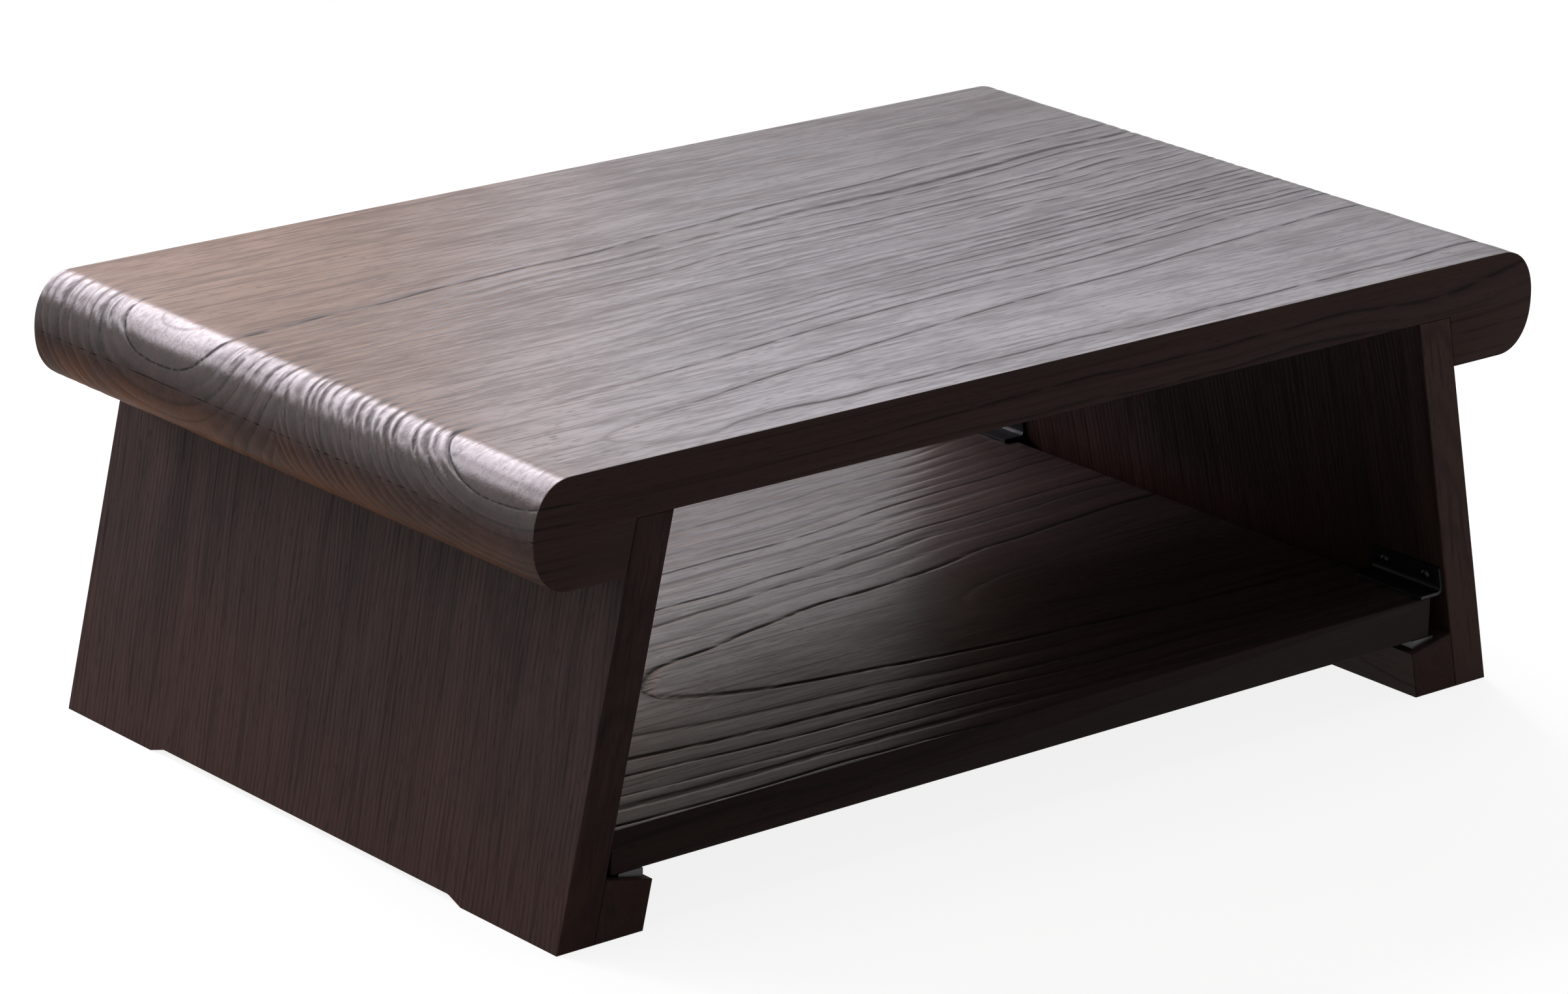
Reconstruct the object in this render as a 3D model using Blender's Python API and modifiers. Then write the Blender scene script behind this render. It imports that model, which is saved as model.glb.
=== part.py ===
"""Low tea table with rolled ends, splayed leg panels and a loose shelf.

Metres, +Z up. X runs along the table, Y from its front to its back, and the origin is on
the floor under the middle of the top. Side -1 is the left end and side +1 the right end.
"""
import math

import bmesh
import bpy
from mathutils import Matrix, Vector

# Overall sizes
LENGTH = 0.800
DEPTH = 0.495
HEIGHT = 0.286

# Top board and the blocks under its ends
TOP_THICKNESS = 0.0335
END_BLOCK_THICKNESS = 0.0337
ROLL_WIDTH = 0.0275
TOP_ROLL_FULLNESS = 2.2
BLOCK_ROLL_FULLNESS = 2.2
ROLL_STEPS = 14

# Leg panels
FOOT_SETBACK = 0.0205
FOOT_DEPTH = 0.0905
LEG_LEAN = math.radians(12.0)
LEG_THICKNESS = 0.026
NOTCH_HEIGHT = 0.004
NOTCH_SLOPE = 0.013
NOTCH_CORNER_RADIUS = 0.010

# Shelf rails, bars set flat on the leaning panels, so that their tops fall towards the middle
RAIL_THICKNESS = 0.035
RAIL_HEIGHT = 0.038

# Shelf board, pushed up to the left panel
SHELF_THICKNESS = 0.0267
SHELF_LIFT = 0.0001
SHELF_SETBACK = 0.0035
SHELF_LEFT_GAP = 0.001
SHELF_RIGHT_GAP = 0.0112

# Glide wedges that carry the level shelf on the falling tops of the rails
PAD_WIDTH = 0.018
PAD_LENGTH = 0.040
PAD_SETBACK = 0.012
PAD_INSET = 0.004
PAD_CORNER_RADIUS = 0.0005

# Steel clips over the shelf's right end, where it stands clear of the panel
CLIP_SIDE = "right"
CLIP_LENGTH = 0.060
CLIP_STEEL = 0.002
CLIP_TONGUE = 0.020
CLIP_RISE = 0.018
CLIP_BEND_RADIUS = 0.0025
CLIP_FRONT_INSET = 0.003
CLIP_REAR_INSET = 0.038
CLIP_SCREW_SPACING = 0.036
CLIP_SCREW_RISE = 0.0115

# Clip screws
SCREW_HEAD_RADIUS = 0.0034
SCREW_HEAD_HEIGHT = 0.0022
SCREW_SHANK_RADIUS = 0.0016
SCREW_LENGTH = 0.016
SCREW_POINT = 0.004

# Hidden dowels
LEG_DOWEL_RADIUS = 0.005
LEG_DOWEL_LENGTH = 0.040
LEG_DOWEL_COUNT = 4
LEG_DOWEL_INSET = 0.060
RAIL_DOWEL_RADIUS = 0.004
RAIL_DOWEL_LENGTH = 0.034
RAIL_DOWEL_COUNT = 3
RAIL_DOWEL_INSET = 0.065
DOWEL_CHAMFER = 0.001

# Fits and finish
GLUE_GAP = 0.0003
HOLE_CLEARANCE = 0.0003
EDGE_RADIUS = 0.0007
EDGE_STEPS = 2
ROUND_SIDES = 16
BEND_STEPS = 4
CUTTER_REACH = 0.010
MERGE_DISTANCE = 0.000001
SMOOTH_ANGLE = math.radians(35.0)

# Places worked out from the sizes
LEAN_RUN = math.tan(LEG_LEAN)
LEAN_COS = math.cos(LEG_LEAN)
LEG_WIDTH = LEG_THICKNESS / LEAN_COS
RAIL_WIDTH = RAIL_THICKNESS / LEAN_COS
FOOT_REACH = LENGTH / 2 - FOOT_SETBACK
NOTCH_REACH = DEPTH / 2 - FOOT_DEPTH
TOP_UNDERSIDE = HEIGHT - TOP_THICKNESS
JOINT_HEIGHT = TOP_UNDERSIDE - GLUE_GAP
BLOCK_UNDERSIDE = JOINT_HEIGHT - END_BLOCK_THICKNESS
SHELF_UNDERSIDE = RAIL_HEIGHT + SHELF_LIFT
SHELF_TOP = SHELF_UNDERSIDE + SHELF_THICKNESS
SHELF_DEPTH = DEPTH - 2 * SHELF_SETBACK
CLIP_BASE = SHELF_TOP + GLUE_GAP

SIDES = {"left": -1, "right": 1}
ENDS = {"front": -1, "rear": 1}
UPRIGHT = (math.pi / 2, 0.0, 0.0)
ACROSS = (math.pi / 2, 0.0, math.pi / 2)


def outer_face(z):
    """Distance from the middle of the table to a panel's outer face at height z."""
    return FOOT_REACH - LEAN_RUN * z


def inner_face(z):
    """Distance from the middle of the table to a panel's inner face at height z."""
    return outer_face(z) - LEG_WIDTH


def rail_top(inward):
    """Height of a rail's top at a distance, measured level, from where it meets the panel."""
    return RAIL_HEIGHT - LEAN_RUN * inward


def spread(count, inset):
    """Evenly spaced places along the depth, the outer ones inset from front and back."""
    reach = DEPTH / 2 - inset
    return [-reach + 2 * reach * step / (count - 1) for step in range(count)]


def start_scene():
    """Empties the scene and makes the collections and the empty that holds the parts."""
    for old in list(bpy.data.objects):
        bpy.data.objects.remove(old)
    collections = {}
    for name in ("Tea table", "Cutters"):
        collections[name] = bpy.data.collections.new(name)
        bpy.context.scene.collection.children.link(collections[name])
    holder = bpy.data.objects.new("table_frame", None)
    collections["Tea table"].objects.link(holder)
    return collections["Tea table"], collections["Cutters"], holder


def make_material(name, colour, roughness, metallic=0.0):
    """A plain Principled material."""
    material = bpy.data.materials.new(name)
    material.use_nodes = True
    shader = material.node_tree.nodes["Principled BSDF"]
    shader.inputs["Base Color"].default_value = (*colour, 1.0)
    shader.inputs["Roughness"].default_value = roughness
    shader.inputs["Metallic"].default_value = metallic
    return material


def add_part(name, mesh, material, location=(0, 0, 0), rotation=(0, 0, 0)):
    """Puts a mesh in the scene as one named part."""
    part = bpy.data.objects.new(name, mesh)
    PARTS.objects.link(part)
    part.parent = HOLDER
    part.location = location
    part.rotation_euler = rotation
    part.data.materials.clear()
    part.data.materials.append(material)
    return part


def add_cutter(name, mesh, location=(0, 0, 0), rotation=(0, 0, 0)):
    """Puts a mesh in the scene as a cutter, shown as wire and left out of the model."""
    cutter = bpy.data.objects.new(name, mesh)
    CUTTERS.objects.link(cutter)
    cutter.location = location
    cutter.rotation_euler = rotation
    cutter.hide_render = True
    cutter.display_type = 'WIRE'
    return cutter


def cut(part, *cutters):
    """Cuts each cutter out of a part."""
    for cutter in cutters:
        boolean = part.modifiers.new(cutter.name, 'BOOLEAN')
        boolean.operation = 'DIFFERENCE'
        boolean.object = cutter


def rounded(corners, radii):
    """An outline with each corner of a polygon replaced by an arc of its own radius."""
    outline = []
    for index, corner in enumerate(corners):
        here = Vector(corner)
        radius = radii[index]
        if radius == 0:
            outline.append(tuple(here))
            continue
        before = (Vector(corners[index - 1]) - here).normalized()
        after = (Vector(corners[(index + 1) % len(corners)]) - here).normalized()
        half = before.angle(after) / 2
        centre = here + (before + after).normalized() * (radius / math.sin(half))
        start = here + before * (radius / math.tan(half)) - centre
        sweep = start.angle_signed(here + after * (radius / math.tan(half)) - centre)
        for step in range(BEND_STEPS + 1):
            turned = start.copy()
            turned.rotate(Matrix.Rotation(-sweep * step / BEND_STEPS, 2))
            outline.append(tuple(centre + turned))
    return outline


def plate(name, outline, thickness, edge_radius=0.0):
    """A closed plate: an outline in local X and Y, with its thickness centred on local Z.

    An edge radius softens the edges round its two flat faces.
    """
    curve = bpy.data.curves.new(name, 'CURVE')
    curve.dimensions = '2D'
    curve.fill_mode = 'BOTH'
    curve.extrude = thickness / 2
    spline = curve.splines.new('POLY')
    spline.points.add(len(outline) - 1)
    for point, (across, up) in zip(spline.points, outline):
        point.co = (across, up, 0.0, 1.0)
    spline.use_cyclic_u = True
    flat = bpy.data.objects.new(name, curve)
    bpy.context.scene.collection.objects.link(flat)
    depsgraph = bpy.context.evaluated_depsgraph_get()
    mesh = bpy.data.meshes.new_from_object(flat.evaluated_get(depsgraph))
    bpy.data.objects.remove(flat)
    bpy.data.curves.remove(curve)

    work = bmesh.new()
    work.from_mesh(mesh)
    bmesh.ops.remove_doubles(work, verts=work.verts, dist=MERGE_DISTANCE)
    bmesh.ops.dissolve_limit(work, angle_limit=math.radians(0.1), verts=work.verts, edges=work.edges)
    if edge_radius:
        rims = [edge for edge in work.edges
                if abs(edge.verts[0].co.z - edge.verts[1].co.z) < MERGE_DISTANCE]
        bmesh.ops.bevel(work, geom=rims, offset=edge_radius, segments=EDGE_STEPS,
                        profile=0.5, affect='EDGES')
    bmesh.ops.recalc_face_normals(work, faces=work.faces)
    work.to_mesh(mesh)
    work.free()
    mesh.name = name
    mesh.shade_smooth()
    mesh.set_sharp_from_angle(angle=SMOOTH_ANGLE)
    return mesh


def rods(name, radius, length, places, turn=None):
    """One mesh of round rods, each centred on its place and turned the same way."""
    turn = turn or Matrix.Identity(4)
    work = bmesh.new()
    for place in places:
        bmesh.ops.create_cone(work, cap_ends=True, segments=ROUND_SIDES, radius1=radius, radius2=radius,
                              depth=length, matrix=Matrix.Translation(place) @ turn)
    mesh = bpy.data.meshes.new(name)
    work.to_mesh(mesh)
    work.free()
    return mesh


def lean_turn(side):
    """Turns local Z to point out of a panel's inner face, towards the middle of the table."""
    return Matrix.Rotation(-side * (math.pi / 2 + LEG_LEAN), 4, 'Y')


def roll_quarter(height, fullness):
    """Points of a quarter of the rolled end, from its tip to where the flat face starts.

    A fullness of 2 is a quarter of an ellipse, and a higher one is squarer.
    """
    points = []
    for step in range(ROLL_STEPS + 1):
        angle = math.pi / 2 * step / ROLL_STEPS
        inward = ROLL_WIDTH * (1 - math.cos(angle) ** (2 / fullness))
        points.append((LENGTH / 2 - inward, height * math.sin(angle) ** (2 / fullness)))
    return points


def make_top_board():
    """The top board, its ends rounded over from the underside."""
    quarter = roll_quarter(TOP_THICKNESS, TOP_ROLL_FULLNESS)
    right = [(x, TOP_UNDERSIDE + rise) for x, rise in quarter]
    left = [(-x, z) for x, z in reversed(right)]
    mesh = plate("top_board", right + left, DEPTH, EDGE_RADIUS)
    return add_part("top_board", mesh, WOOD, rotation=UPRIGHT)


def make_end_block(label, side):
    """The block glued under one end of the top, cut to the lean of the panel beside it."""
    quarter = roll_quarter(END_BLOCK_THICKNESS, BLOCK_ROLL_FULLNESS)
    tip_down = [(x, JOINT_HEIGHT - drop) for x, drop in quarter]
    panel_side = [(outer_face(z) + GLUE_GAP, z) for z in (BLOCK_UNDERSIDE, JOINT_HEIGHT)]
    outline = [(side * x, z) for x, z in tip_down + panel_side]
    name = f"end_block_{label}"
    return add_part(name, plate(name, outline, DEPTH, EDGE_RADIUS), WOOD, rotation=UPRIGHT)


def make_leg_panel(label, side):
    """A leaning panel, level at the floor and under the top board."""
    outline = [(inner_face(0), 0), (outer_face(0), 0),
               (outer_face(JOINT_HEIGHT), JOINT_HEIGHT), (inner_face(JOINT_HEIGHT), JOINT_HEIGHT)]
    name = f"leg_panel_{label}"
    mesh = plate(name, [(side * x, z) for x, z in outline], DEPTH, EDGE_RADIUS)
    return add_part(name, mesh, WOOD, rotation=UPRIGHT)


def make_shelf_rail(label, side):
    """The rail along the inside of a panel's foot, square to the panel and level at the floor."""
    top_corner = inner_face(RAIL_HEIGHT) - GLUE_GAP
    top_width = RAIL_THICKNESS * LEAN_COS
    floor_corner = inner_face(0) - GLUE_GAP
    corners = [(floor_corner - RAIL_WIDTH, 0), (floor_corner, 0),
               (top_corner, RAIL_HEIGHT), (top_corner - top_width, rail_top(top_width))]
    outline = [(side * x, z) for x, z in corners]
    name = f"shelf_rail_{label}"
    return add_part(name, plate(name, outline, DEPTH, EDGE_RADIUS), WOOD, rotation=UPRIGHT)


def make_foot_notch(label, side):
    """The cutter that leaves two feet under a panel and its rail."""
    wide = NOTCH_REACH + NOTCH_SLOPE * CUTTER_REACH / NOTCH_HEIGHT
    narrow = NOTCH_REACH - NOTCH_SLOPE
    corners = [(-wide, -CUTTER_REACH), (wide, -CUTTER_REACH),
               (narrow, NOTCH_HEIGHT), (-narrow, NOTCH_HEIGHT)]
    outline = rounded(corners, (0, 0, NOTCH_CORNER_RADIUS, NOTCH_CORNER_RADIUS))
    width = LEG_WIDTH + RAIL_WIDTH + GLUE_GAP + 2 * CUTTER_REACH
    middle = outer_face(0) + CUTTER_REACH - width / 2
    mesh = plate(f"foot_notch_{label}", outline, width)
    return add_cutter(mesh.name, mesh, (side * middle, 0, 0), ACROSS)


def make_shelf_board():
    """The loose shelf. It slides along Y, with its origin on the line that it slides along."""
    left_end = SHELF_LEFT_GAP - inner_face(SHELF_TOP)
    right_end = inner_face(SHELF_TOP) - SHELF_RIGHT_GAP
    length = right_end - left_end
    bpy.ops.mesh.primitive_cube_add(size=1.0)
    shelf = bpy.context.object
    shelf.name = "shelf_board"
    shelf.data.name = "shelf_board"
    shelf.data.transform(Matrix.Diagonal((length, SHELF_DEPTH, SHELF_THICKNESS, 1.0)))
    for collection in list(shelf.users_collection):
        collection.objects.unlink(shelf)
    PARTS.objects.link(shelf)
    shelf.parent = HOLDER
    shelf.location = (left_end + length / 2, 0, SHELF_UNDERSIDE + SHELF_THICKNESS / 2)
    shelf.data.materials.append(WOOD)
    bevel = shelf.modifiers.new("soft_edges", 'BEVEL')
    bevel.width = EDGE_RADIUS
    bevel.segments = EDGE_STEPS
    return shelf


def make_shelf_pad(label, side, end):
    """A glide wedge near the front or back end of a rail, level on top and sloped like the rail below."""
    rail_corner = inner_face(RAIL_HEIGHT) - GLUE_GAP
    thin, thick = PAD_SETBACK, PAD_SETBACK + PAD_WIDTH
    level = SHELF_UNDERSIDE - GLUE_GAP
    corners = [(rail_corner - thick, rail_top(thick) + GLUE_GAP), (rail_corner - thin, rail_top(thin) + GLUE_GAP),
               (rail_corner - thin, level), (rail_corner - thick, level)]
    outline = rounded([(side * x, z) for x, z in corners], [PAD_CORNER_RADIUS] * 4)
    name = f"shelf_pad_{label}"
    middle = end * (DEPTH / 2 - PAD_INSET - PAD_LENGTH / 2)
    return add_part(name, plate(name, outline, PAD_LENGTH), NYLON, (0, middle, 0), UPRIGHT)


def clip_middle(end):
    """Where along the depth a clip is centred: the rear ones stand further in than the front ones."""
    inset = CLIP_FRONT_INSET if end < 0 else CLIP_REAR_INSET
    return end * (DEPTH / 2 - inset - CLIP_LENGTH / 2)


def clip_screw_places(side, end):
    """Where a clip's screws meet the inner face of the panel."""
    z = CLIP_BASE + CLIP_SCREW_RISE
    return [Vector((side * inner_face(z), clip_middle(end) + step * CLIP_SCREW_SPACING / 2, z))
            for step in (-1, 1)]


def make_shelf_clip(label, side, end):
    """A bent steel angle: a leaf up the panel's inner face and a tongue over the shelf's end."""
    steel = CLIP_STEEL / LEAN_COS
    tongue_top = CLIP_BASE + CLIP_STEEL
    leaf_top = CLIP_BASE + CLIP_RISE
    heel = inner_face(CLIP_BASE) - GLUE_GAP
    corners = [(heel, CLIP_BASE), (inner_face(leaf_top) - GLUE_GAP, leaf_top),
               (inner_face(leaf_top) - GLUE_GAP - steel, leaf_top),
               (inner_face(tongue_top) - GLUE_GAP - steel, tongue_top),
               (heel - CLIP_TONGUE, tongue_top), (heel - CLIP_TONGUE, CLIP_BASE)]
    bends = (CLIP_BEND_RADIUS + CLIP_STEEL, 0, 0, CLIP_BEND_RADIUS, 0, 0)
    outline = [(side * x, z) for x, z in rounded(corners, bends)]
    name = f"shelf_clip_{label}"
    mesh = plate(name, outline, CLIP_LENGTH)
    return add_part(name, mesh, STEEL, (0, clip_middle(end), 0), UPRIGHT)


def make_screw_mesh():
    """A round-headed wood screw, its head's seat at the local origin and its point down local Z."""
    head = []
    for step in range(BEND_STEPS + 1):
        angle = math.pi / 2 * step / BEND_STEPS
        head.append((SCREW_HEAD_RADIUS * math.sin(angle), SCREW_HEAD_HEIGHT * math.cos(angle)))
    shank = [(SCREW_SHANK_RADIUS, 0.0), (SCREW_SHANK_RADIUS, SCREW_POINT - SCREW_LENGTH),
             (0.0, -SCREW_LENGTH)]
    profile = bpy.data.meshes.new("clip_screw_profile")
    points = [(x, 0.0, z) for x, z in head + shank]
    profile.from_pydata(points, [(step, step + 1) for step in range(len(points) - 1)], [])
    turned = bpy.data.objects.new("clip_screw_profile", profile)
    bpy.context.scene.collection.objects.link(turned)
    screw = turned.modifiers.new("turn", 'SCREW')
    screw.steps = ROUND_SIDES
    screw.render_steps = ROUND_SIDES
    screw.use_merge_vertices = True
    screw.merge_threshold = MERGE_DISTANCE
    depsgraph = bpy.context.evaluated_depsgraph_get()
    mesh = bpy.data.meshes.new_from_object(turned.evaluated_get(depsgraph))
    bpy.data.objects.remove(turned)
    mesh.name = "clip_screw"
    mesh.shade_smooth()
    mesh.set_sharp_from_angle(angle=SMOOTH_ANGLE)
    return mesh


def make_dowel_mesh(name, radius, length):
    """A straight dowel along local Z, with its ends chamfered."""
    mesh = rods(name, radius, length, [Vector()])
    work = bmesh.new()
    work.from_mesh(mesh)
    rims = [edge for edge in work.edges
            if abs(edge.verts[0].co.z - edge.verts[1].co.z) < MERGE_DISTANCE]
    bmesh.ops.bevel(work, geom=rims, offset=DOWEL_CHAMFER, segments=1, profile=0.5, affect='EDGES')
    work.to_mesh(mesh)
    work.free()
    mesh.shade_smooth()
    mesh.set_sharp_from_angle(angle=SMOOTH_ANGLE)
    return mesh


def fit_leg_dowels(label, side, top, leg):
    """Upright dowels, half in the top board and half in the top edge of a panel."""
    mid_leg = inner_face(JOINT_HEIGHT - LEG_DOWEL_LENGTH / 4) + LEG_WIDTH / 2
    places = [Vector((side * mid_leg, y, TOP_UNDERSIDE)) for y in spread(LEG_DOWEL_COUNT, LEG_DOWEL_INSET)]
    mesh = make_dowel_mesh("leg_dowel", LEG_DOWEL_RADIUS, LEG_DOWEL_LENGTH)
    for number, place in enumerate(places, 1):
        add_part(f"leg_dowel_{label}_{number}", mesh, BEECH, place)
    holes = rods(f"leg_dowel_holes_{label}", LEG_DOWEL_RADIUS + HOLE_CLEARANCE,
                 LEG_DOWEL_LENGTH + 2 * HOLE_CLEARANCE, places)
    cutter = add_cutter(holes.name, holes)
    cut(top, cutter)
    cut(leg, cutter)


def fit_rail_dowels(label, side, rail, leg):
    """Dowels square to a panel's inner face, half in the rail and half in the panel."""
    z = RAIL_HEIGHT / 2
    places = [Vector((side * inner_face(z), y, z)) for y in spread(RAIL_DOWEL_COUNT, RAIL_DOWEL_INSET)]
    mesh = make_dowel_mesh("rail_dowel", RAIL_DOWEL_RADIUS, RAIL_DOWEL_LENGTH)
    turn = lean_turn(side)
    for number, place in enumerate(places, 1):
        add_part(f"rail_dowel_{label}_{number}", mesh, BEECH, place, turn.to_euler())
    holes = rods(f"rail_dowel_holes_{label}", RAIL_DOWEL_RADIUS + HOLE_CLEARANCE,
                 RAIL_DOWEL_LENGTH + 2 * HOLE_CLEARANCE, places, turn)
    cutter = add_cutter(holes.name, holes)
    cut(rail, cutter)
    cut(leg, cutter)


def fit_clip(label, side, end, leg, screw_mesh):
    """A shelf clip with its two screws, and their holes in the clip and the panel."""
    clip = make_shelf_clip(label, side, end)
    turn = lean_turn(side)
    out = turn @ Vector((0, 0, 1))
    seat = GLUE_GAP * LEAN_COS + CLIP_STEEL + HOLE_CLEARANCE
    holes = []
    for number, place in enumerate(clip_screw_places(side, end), 1):
        add_part(f"clip_screw_{label}_{number}", screw_mesh, STEEL, place + out * seat, turn.to_euler())
        holes.append(place + out * (seat - SCREW_LENGTH / 2))
    bores = rods(f"clip_screw_holes_{label}", SCREW_SHANK_RADIUS + HOLE_CLEARANCE,
                 SCREW_LENGTH + 2 * HOLE_CLEARANCE, holes, turn)
    cutter = add_cutter(bores.name, bores)
    cut(clip, cutter)
    cut(leg, cutter)


def build_table():
    """Every piece of the table, end by end."""
    top = make_top_board()
    make_shelf_board()
    screw_mesh = make_screw_mesh()
    for label, side in SIDES.items():
        make_end_block(label, side)
        leg = make_leg_panel(label, side)
        rail = make_shelf_rail(label, side)
        notch = make_foot_notch(label, side)
        cut(leg, notch)
        cut(rail, notch)
        fit_leg_dowels(label, side, top, leg)
        fit_rail_dowels(label, side, rail, leg)
        for end_label, end in ENDS.items():
            corner = f"{end_label}_{label}"
            make_shelf_pad(corner, side, end)
            if label == CLIP_SIDE:
                fit_clip(corner, side, end, leg, screw_mesh)


PARTS, CUTTERS, HOLDER = start_scene()
WOOD = make_material("dark_stained_wood", (0.030, 0.020, 0.017), 0.42)
BEECH = make_material("dowel_beech", (0.52, 0.36, 0.21), 0.60)
STEEL = make_material("dark_plated_steel", (0.07, 0.07, 0.075), 0.35, 1.0)
NYLON = make_material("dark_nylon", (0.060, 0.060, 0.062), 0.25)
build_table()
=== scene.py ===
"""Looks of the low tea table: dark stained, brushed wood with plated clips, in plain studio light.

Metres, +Z up. X runs along the table, Y from its front to its back. Wood patterns are worked
out in three directions for each board, along its grain, across it and through it, so that the
lines on a face run on round the edges as they do in solid wood.
"""
import math
from collections import namedtuple

import bpy
from mathutils import Matrix, Vector


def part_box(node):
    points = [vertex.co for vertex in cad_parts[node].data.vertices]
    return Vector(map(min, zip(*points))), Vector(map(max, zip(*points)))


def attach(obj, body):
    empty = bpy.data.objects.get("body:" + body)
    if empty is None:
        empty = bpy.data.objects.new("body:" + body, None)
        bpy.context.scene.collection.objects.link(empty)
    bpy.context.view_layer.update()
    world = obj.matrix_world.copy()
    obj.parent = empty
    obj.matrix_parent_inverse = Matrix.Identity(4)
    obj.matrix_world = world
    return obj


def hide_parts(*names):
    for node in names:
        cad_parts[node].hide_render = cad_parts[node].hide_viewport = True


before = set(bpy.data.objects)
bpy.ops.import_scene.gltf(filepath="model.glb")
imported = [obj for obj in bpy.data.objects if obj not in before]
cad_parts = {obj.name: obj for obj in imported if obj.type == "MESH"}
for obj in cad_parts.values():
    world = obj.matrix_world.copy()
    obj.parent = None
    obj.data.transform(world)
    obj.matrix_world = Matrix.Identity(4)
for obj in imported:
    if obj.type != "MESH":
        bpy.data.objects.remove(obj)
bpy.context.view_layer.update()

# Rolled ends of the top
ROLL_WIDTH = 0.0275
TOP_ROLL_FULLNESS = 2.2
BLOCK_ROLL_FULLNESS = 2.2
ROLL_POINTS = 46
BLOCK_ROLL_POINTS = 42
BLOCK_UNDER_STEPS = 4
FINE_STEPS = 400
TOP_STATIONS = 700
FLAT_INSETS = (0.003, 0.007, 0.012, 0.018, 0.026, 0.036)
FLAT_STEPS = 16
UNDERSIDE_PLACES = (-0.30, -0.10, 0.10, 0.30)

# Rims of the boards
EDGE_RADIUS = 0.0007
EDGE_STEPS = 4
SHARP_ANGLE = math.radians(40.0)
NEARLY_ZERO = 1e-6
LEAST_SQUARENESS = 0.5

# Leg panels: their lean, the tilt of their grain, and how far it is shifted, the other way in each
LEAN = math.radians(12.0)
LEAN_RUN = math.tan(LEAN)
LEG_TILT = 0.048
LEG_SHIFT = 0.11

# Clip screws: head, shank and point, the cross recess, and what cuts and joins them
SCREW_RADIUS = 0.0034
SCREW_RISE = 0.0022
HEAD_SEGMENTS = 40
HEAD_RINGS = 20
SHANK_RADIUS = 0.0016
SHANK_LENGTH = 0.012
SHANK_SIDES = 20
POINT_LENGTH = 0.004
POINT_OVERLAP = 0.0002
POINT_SHARE = 0.97
RECESS_REACH = 0.0044
RECESS_WIDTH = 0.0010
RECESS_DEPTH = 0.0011
RECESS_STEP = 0.00006
SEAT_DEPTH = 0.00005
CUTTER_WIDTH = 0.020
CUTTER_HEIGHT = 0.010
CROWN_DEPTH = 0.00001
WELD = 0.00002

# Shelf
SHELF_STATIONS = 600
SHELF_STEP = 0.005

# Front and back faces, which are duller than the rest: how far from the middle they start
END_FACES = (0.2468, 0.2474)
SHELF_FACES = (0.2433, 0.2439)

# Relief that brushing leaves in the wood: its depths, how its swell varies, where the rolled ends
# start, and which normals belong to a rim and to a level face
ROLL_GROOVE_DEPTH = 0.00024
ROLL_SWELL_DEPTH = 0.00025
SHELF_GROOVE_DEPTH = 0.00070
SHELF_SWELL_DEPTH = 0.00008
SWELL_SCALE = (42.0, 60.0, 42.0)
SWELL_RANGE = (0.30, 0.70)
SWELL_LEAST = 0.45
SWELL_SPREAD = 0.95
ROLL_ENDS = (0.360, 0.380)
RIM_NORMALS = (0.2, 0.7)
LEVEL_NORMALS = (0.6, 0.95)

# Stain colours, linear
STAIN_DARK = (0.0170, 0.0100, 0.0088, 1.0)
STAIN_LIGHT = (0.0440, 0.0260, 0.0228, 1.0)
STAIN_LINE = (0.0045, 0.0032, 0.0030, 1.0)
# Painted warm bounce light, low on the rolled ends
PAINTED_WARM_BOUNCE = (0.1300, 0.0480, 0.0140, 1.0)
STAIN_RED = (0.0440, 0.0190, 0.0150, 1.0)
# Painted light on the front and back faces of the top and of the right leg panel
PAINTED_FACE_LIGHT = (0.0680, 0.0410, 0.0340, 1.0)
MATTE_SPECULAR = 0.05
MATTE_ROUGHNESS = 0.60

# Colours of the fittings and the dowels, linear
STEEL_DARK = (0.012, 0.012, 0.013, 1.0)
STEEL_LIGHT = (0.046, 0.045, 0.047, 1.0)
NYLON_DARK = (0.012, 0.012, 0.013, 1.0)
NYLON_LIGHT = (0.030, 0.029, 0.030, 1.0)
BEECH_DARK = (0.42, 0.27, 0.15, 1.0)
BEECH_LIGHT = (0.58, 0.41, 0.25, 1.0)
BEECH_FLECK = (0.30, 0.17, 0.09, 1.0)

# Noise in the fittings and the dowels, per metre in X, Y and Z
STEEL_GRAIN_SCALE = (1500.0, 60.0, 1500.0)
STEEL_BLOTCH_SCALE = (220.0, 220.0, 220.0)
STEEL_GRAIN_SHARE = 0.6
NYLON_CLOUD_SCALE = (160.0, 160.0, 160.0)
NYLON_SPECK_SCALE = (1800.0, 1800.0, 1800.0)
NYLON_SPECK_HEIGHT = 0.00003
BEECH_FIBRE_SCALE = (700.0, 700.0, 40.0)
BEECH_FLECK_SCALE = (900.0, 900.0, 160.0)
BEECH_FLECK_RANGE = (0.60, 0.72)

# Noise in the wood. A scale is per metre along the grain, across it and through it, and a range is
# where the noise turns from 0 to 1
FIBRE_SCALE = (11.0, 520.0, 520.0)
STREAK_SCALE = (2.2, 70.0, 70.0)
CLOUD_SCALE = (2.0, 6.0, 6.0)
TONE_SHARES = (0.40, 0.40, 0.20)
TONE_RANGE = (0.32, 0.68)
VEIN_SCALE = (5.0, 290.0, 290.0)
VEIN_RANGE = (0.57, 0.70)
PORE_SCALE = (110.0, 900.0, 900.0)
PORE_RANGE = (0.66, 0.78)
THREAD_SCALE = (26.0, 330.0, 330.0)
PATCH_SCALE = (10.0, 24.0, 24.0)
THREAD_SHARE = 0.65
BROKEN_RANGE = (0.38, 0.66)

# What the lines, fibres, veins and pores do to the surface: their share of its colour, its roughness
# and its bump, and how much of the pores and of the broken sheen is left on the rolled ends
LINE_SHARE = 0.6
FIBRE_ROUGHNESS = 0.08
SUNK_ROUGHNESS = 0.20
SUNK_DULLNESS = 0.85
FIBRE_HEIGHT = 0.00002
VEIN_DEPTH = 0.00002
PORE_DEPTH = 0.00003
ROLL_PORES = 0.2
ROLL_BROKEN = 0.75

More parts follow.
